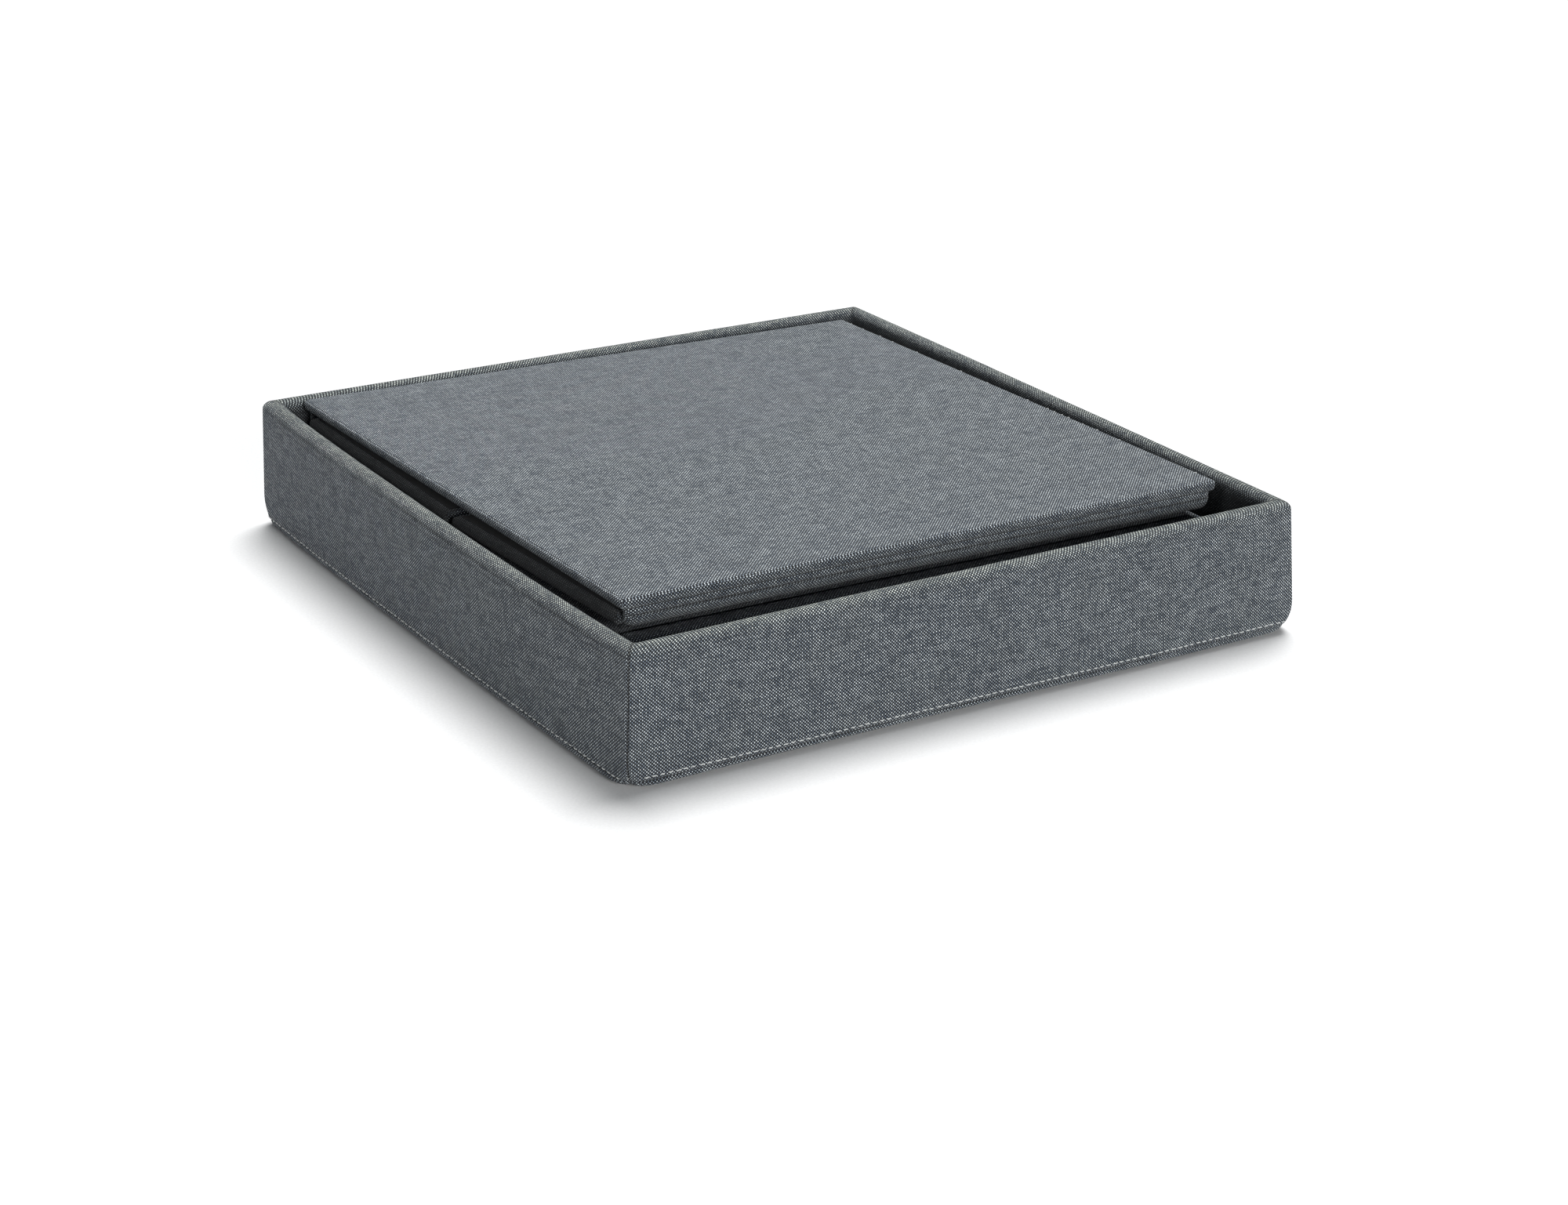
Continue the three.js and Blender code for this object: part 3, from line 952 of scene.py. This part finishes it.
# For each panel: its body, the crown of its cloth face and the seed of its unevenness.
PANELS = {
    "front_panel": ("front", 0.7 * MM, 21),
    "near_upper_side": ("near_upper", 0.3 * MM, 22),
    "far_upper_side": ("far_upper", 0.3 * MM, 23),
    "near_lower_side": ("near_lower", 0.3 * MM, 24),
    "far_lower_side": ("far_lower", 0.3 * MM, 25),
    "back_panel": ("back", 0.7 * MM, 26),
}
placed = {name: panel(name, *facts) for name, facts in PANELS.items()}
panel("base", "base", 0.2 * MM, 27, LINING_LOOK, 6 * MM)

# ---------------------------------------------------------------- sewn corners and creases

WEB_RADIUS = 7.9 * MM  # of the cloth round the end of a half side
WEB_CLOTH = 0.6 * MM
CREASE_CLOTH = 0.25 * MM  # half the thickness of a crease strip
FAR_CREASE_CLOTH = 0.1 * MM
FAR_CREASE_SHIFT = 0.54 * MM
FAR_CREASE_SHARE = 0.38  # share of the crease's height that each of the two flaps takes


def web_path(reach, rise):
    """The section of a sewn corner around its hinge axis, as (outwards, towards the panel): a
    fold tucked under the panel's edge, the seam, round the end of the half side, onto its cloth
    face. The second result is the number of the point that lies in the seam."""
    folded = ((-1.9, -0.05), (-1.0, 0.3), (-0.3, 0.75), (0.1, 0.35), (0.25, -0.5), (0.2, -1.6))
    path = [(reach + out * MM, rise + up * MM) for out, up in folded]
    path += [(reach, rise - 2.3 * MM), (reach - 0.6 * MM, rise - 2.7 * MM)]
    in_seam = len(path)
    path.append((reach - 1.2 * MM, rise - 3.0 * MM))
    path.append((reach - 0.4 * MM, rise - 3.3 * MM))
    start = math.asin(max((rise - 3.8 * MM) / WEB_RADIUS, -0.9))
    for angle in np.linspace(start, -math.pi / 2, 15):
        swell = 0.3 * MM * math.sin(math.pi * (start - angle) / (start + math.pi / 2))
        r = WEB_RADIUS + swell
        path.append((r * math.cos(angle), r * math.sin(angle)))
    for out in (-2.5 * MM, -5 * MM):
        path.append((out, -WEB_RADIUS + 0.1 * MM))
    return np.array(path), in_seam


def corner_web(name, hinge, side, towards, reach, rise, node, seed):
    """The cloth of one sewn corner, bent between a panel and a half side. side is -1 at -Y;
    towards is 1 where the panel lies above the hinge and -1 below."""
    centre = STACK.inverted() @ pivot(hinge)
    path, in_seam = web_path(reach, rise)
    inner = offset_path(path, -WEB_CLOTH)
    length = 0.5 * (extents(node, STACK)[1][0] - extents(node, STACK)[0][0])
    xs = spread(-length, length, 1.3 * MM)
    run = arc_length(path)
    seam_at = run[in_seam]
    outer_rows, inner_rows, weave, seam = [], [], [], []
    for x in xs:
        needle = 0.5 + 0.5 * math.cos(2 * math.pi * x / STITCH_PITCH)
        sag = 0.3 * MM * uneven(x, 0.0, seed, 28 * MM)
        end = min(1.0, (length - abs(x)) / (5 * MM))
        pinch = 1 - 0.45 * (1 - end) ** 2

        def at(p, depth):
            near_seam = bell(depth - seam_at, 1.3 * MM)
            out = (p[0] + sag * math.sin(math.pi * min(depth / run[-1], 1))) * pinch
            out -= 0.4 * MM * needle**3 * near_seam
            return STACK @ Vector((x, centre.y + side * out, centre.z + towards * p[1] * pinch))

        outer_rows.append([at(p, d) for p, d in zip(path, run)])
        inner_rows.append([at(p, d) for p, d in zip(inner, run)])
        weave.append([(x, d + seed) for d in run])
        # Painted shade along the seam, deepest at the needle holes.
        seam.append(bell(run - seam_at, 0.9 * MM) * (0.8 + 0.3 * needle))
    made = band(
        name, np.array(outer_rows), np.array(inner_rows), CLOTH_LOOK, np.array(weave),
        {"seam": np.array(seam)},
    )
    end = STACK @ Vector((0, centre.y, centre.z - towards * WEB_RADIUS))
    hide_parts(node)
    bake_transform(made)
    return made


def panel_reach(panel_name, hinge, side, towards):
    """How far the panel's edge and its near face lie from the hinge axis."""
    centre = STACK.inverted() @ pivot(hinge)
    low, high = extents(f"{panel_name}_cover", STACK)
    edge = (high[1] - centre.y) if side > 0 else (centre.y - low[1])
    face = (low[2] - centre.z) if towards > 0 else (centre.z - high[2])
    return edge, face


CORNERS = (
    ("near_upper_web", "front", "near_upper", "front_fold", -1, 1, "front_panel"),
    ("far_upper_web", "front", "far_upper", "far_upper_fold", 1, 1, "front_panel"),
    ("near_lower_web", "back", "near_lower", "near_lower_fold", -1, -1, "back_panel"),
    ("far_lower_web", "back", "far_lower", "far_lower_fold", 1, -1, "back_panel"),
)
for _seed, (_node, _a, _b, _hinge, _side, _towards, _panel) in enumerate(CORNERS):
    _reach, _rise = panel_reach(_panel, _hinge, _side, _towards)
    corner_web(
        _node.replace("_web", "_corner_cloth"), _hinge, _side, _towards,
        _reach, _rise, _node, _seed + 31,
    )


def crease_strip(name, node, low_share, high_share, thick=CREASE_CLOTH, shift=0.0):
    """A strip of lining over the ends of two half sides, or a share of its height. thick is half
    its thickness, and shift moves it along Y."""
    low, high = extents(node, STACK)
    bottom = low[2] + (high[2] - low[2]) * low_share
    top = low[2] + (high[2] - low[2]) * high_share
    middle = (low[1] + high[1]) / 2 + shift
    zs = spread(bottom, top, 0.8 * MM)
    xs = spread(low[0], high[0], 3 * MM)
    outer, inner, weave = [], [], []
    for x in xs:
        outer.append([STACK @ Vector((x, middle + thick, z)) for z in zs])
        inner.append([STACK @ Vector((x, middle - thick, z)) for z in zs])
        weave.append([(x, z) for z in zs])
    made = band(name, np.array(outer), np.array(inner), LINING_LOOK, np.array(weave))
    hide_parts(node)
    return made


near_crease = crease_strip("near_crease_lining", "near_crease_web", 0.0, 1.0)
_crease_low, _crease_high = extents("near_crease_web", STACK)
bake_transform(near_crease)
# The ring of panels is open at the far crease, so each half side has its own flap there.
_flap = (FAR_CREASE_CLOTH, FAR_CREASE_SHIFT)
_end = 1 - FAR_CREASE_SHARE
_lower = crease_strip("far_crease_lower_lining", "far_crease_web", 0.0, FAR_CREASE_SHARE, *_flap)
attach(_lower, "far_lower")
_upper = crease_strip("far_crease_upper_lining", "far_crease_web", _end, 1.0, *_flap)
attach(_upper, "far_upper")


def mouth_stitches(panel_name, body, seed):
    """The stitches that close the cloth along a panel's edge at the mouth of the box."""
    place, low, high = placed[panel_name]
    line, out = [], []
    for y in np.linspace(low[1] + 6 * MM, high[1] - 6 * MM, 120):
        line.append(place @ Vector((high[0] - 0.7 * MM, y, high[2] - 0.55 * MM)))
        out.append(place.to_3x3() @ Vector((0.75, 0, 0.66)))
    return stitches(
        f"{panel_name}_mouth_stitches", line, out, 1.5 * STITCH_PITCH, 1.8 * MM,
        0.8 * THREAD_RADIUS, 0.25 * MM, seed, keep=0.35, body=body,
    )


mouth_stitches("front_panel", "front", 41)

# ---------------------------------------------------------------- boards and foam inside

SLOT_LOOKS = {
    "fibreboard": BOARD_LOOK,
    "foam": FOAM_LOOK,
    "lining_cloth": LINING_LOOK,
    "upholstery_cloth": CLOTH_LOOK,
}
for _part in frame["record"]["subparts"]:
    _materials = frame["nodes"][_part["node"]].data.materials
    _materials.clear()
    _materials.append(SLOT_LOOKS[_part["material_slot"]])

# ---------------------------------------------------------------- studio


FLOOR_REACH = 30.0
SKY_STRENGTH = 0.07
HORIZON_TONE = 1.05
HORIZON_START, HORIZON_END = math.radians(4), math.radians(16)  # over these heights it darkens

# Each light's name, azimuth, elevation and spread in degrees, and strength.
LIGHTS = (
    ("key", 132, 66, 36, 5.4),
    ("front", -6, 17, 22, 2.95),
    ("left", -75, 30, 20, 0.35),
)


def studio_floor():
    size = FLOOR_REACH
    mesh = bpy.data.meshes.new("studio_floor")
    corners = [(-size, -size, 0), (size, -size, 0), (size, size, 0), (-size, size, 0)]
    mesh.from_pydata(corners, [], [(0, 1, 2, 3)])
    mesh.materials.append(PAPER_LOOK)
    made = bpy.data.objects.new("studio_floor", mesh)
    bpy.context.scene.collection.objects.link(made)


def soft_sun(name, azimuth, elevation, spread_angle, strength):
    """Even light from a wide patch of sky, so that the floor is lit alike all over."""
    lamp = bpy.data.lights.new(name, "SUN")
    lamp.angle = math.radians(spread_angle)
    lamp.energy = strength
    made = bpy.data.objects.new(name, lamp)
    flat = math.cos(math.radians(elevation))
    turn = math.radians(azimuth)
    towards = Vector(
        (math.sin(turn) * flat, -math.cos(turn) * flat, math.sin(math.radians(elevation)))
    )
    made.rotation_euler = (-towards).to_track_quat("-Z", "Y").to_euler()
    bpy.context.scene.collection.objects.link(made)


def studio_world(strength):
    """A dim sky that turns as pale as the floor towards the horizon."""
    world = bpy.data.worlds.new("studio")
    world.use_nodes = True
    tree = world.node_tree
    background = tree.nodes["Background"]
    background.inputs["Strength"].default_value = 1.0
    place = tree.nodes.new("ShaderNodeTexCoord")
    parts = tree.nodes.new("ShaderNodeSeparateXYZ")
    shade = tree.nodes.new("ShaderNodeMapRange")
    shade.interpolation_type = "SMOOTHSTEP"
    blend = tree.nodes.new("ShaderNodeMix")
    blend.data_type = "RGBA"
    tree.links.new(place.outputs["Generated"], parts.inputs[0])
    tree.links.new(parts.outputs[2], shade.inputs[0])
    shade.inputs[1].default_value = math.sin(HORIZON_START)
    shade.inputs[2].default_value = math.sin(HORIZON_END)
    tree.links.new(shade.outputs[0], blend.inputs[0])
    blend.inputs[6].default_value = (HORIZON_TONE, HORIZON_TONE, HORIZON_TONE, 1)
    blend.inputs[7].default_value = (0.8 * strength, strength, 1.14 * strength, 1)
    tree.links.new(blend.outputs[2], background.inputs["Color"])
    bpy.context.scene.world = world


CAMERA_AZIMUTH = math.radians(-34.01)
CAMERA_ELEVATION = math.radians(22.4)
CAMERA_ROLL = math.radians(-1.91)
CAMERA_DISTANCE = 1.508
CAMERA_SHIFT_RIGHT = -14 * MM
CAMERA_SHIFT_DOWN = -14.5 * MM
CAMERA_LENS = 66.8


def studio_camera():
    """Looks at the middle of the lid from its near corner, turned and moved a little."""
    flat = math.cos(CAMERA_ELEVATION)
    back = Vector(
        (
            math.sin(CAMERA_AZIMUTH) * flat,
            -math.cos(CAMERA_AZIMUTH) * flat,
            math.sin(CAMERA_ELEVATION),
        )
    )
    level = (-back).cross(Vector((0, 0, 1))).normalized()
    down = (-back).cross(level)
    turn, tilt = math.cos(CAMERA_ROLL), math.sin(CAMERA_ROLL)
    right = level * turn + down * tilt
    under = down * turn - level * tilt
    data = bpy.data.cameras.new("camera")
    data.lens = CAMERA_LENS
    data.sensor_width = 36
    data.clip_end = 100
    made = bpy.data.objects.new("camera", data)
    made.matrix_world = Matrix((right, -under, back)).transposed().to_4x4()
    made.location = (
        back * CAMERA_DISTANCE - right * CAMERA_SHIFT_RIGHT - under * CAMERA_SHIFT_DOWN
    )
    bpy.context.scene.collection.objects.link(made)
    bpy.context.scene.camera = made


bpy.context.scene.view_settings.view_transform = "Standard"
bpy.context.scene.cycles.denoising_prefilter = "NONE"  # a smoothed prefilter blurs the weave
studio_floor()
studio_world(SKY_STRENGTH)
for _light in LIGHTS:
    soft_sun(*_light)
studio_camera()
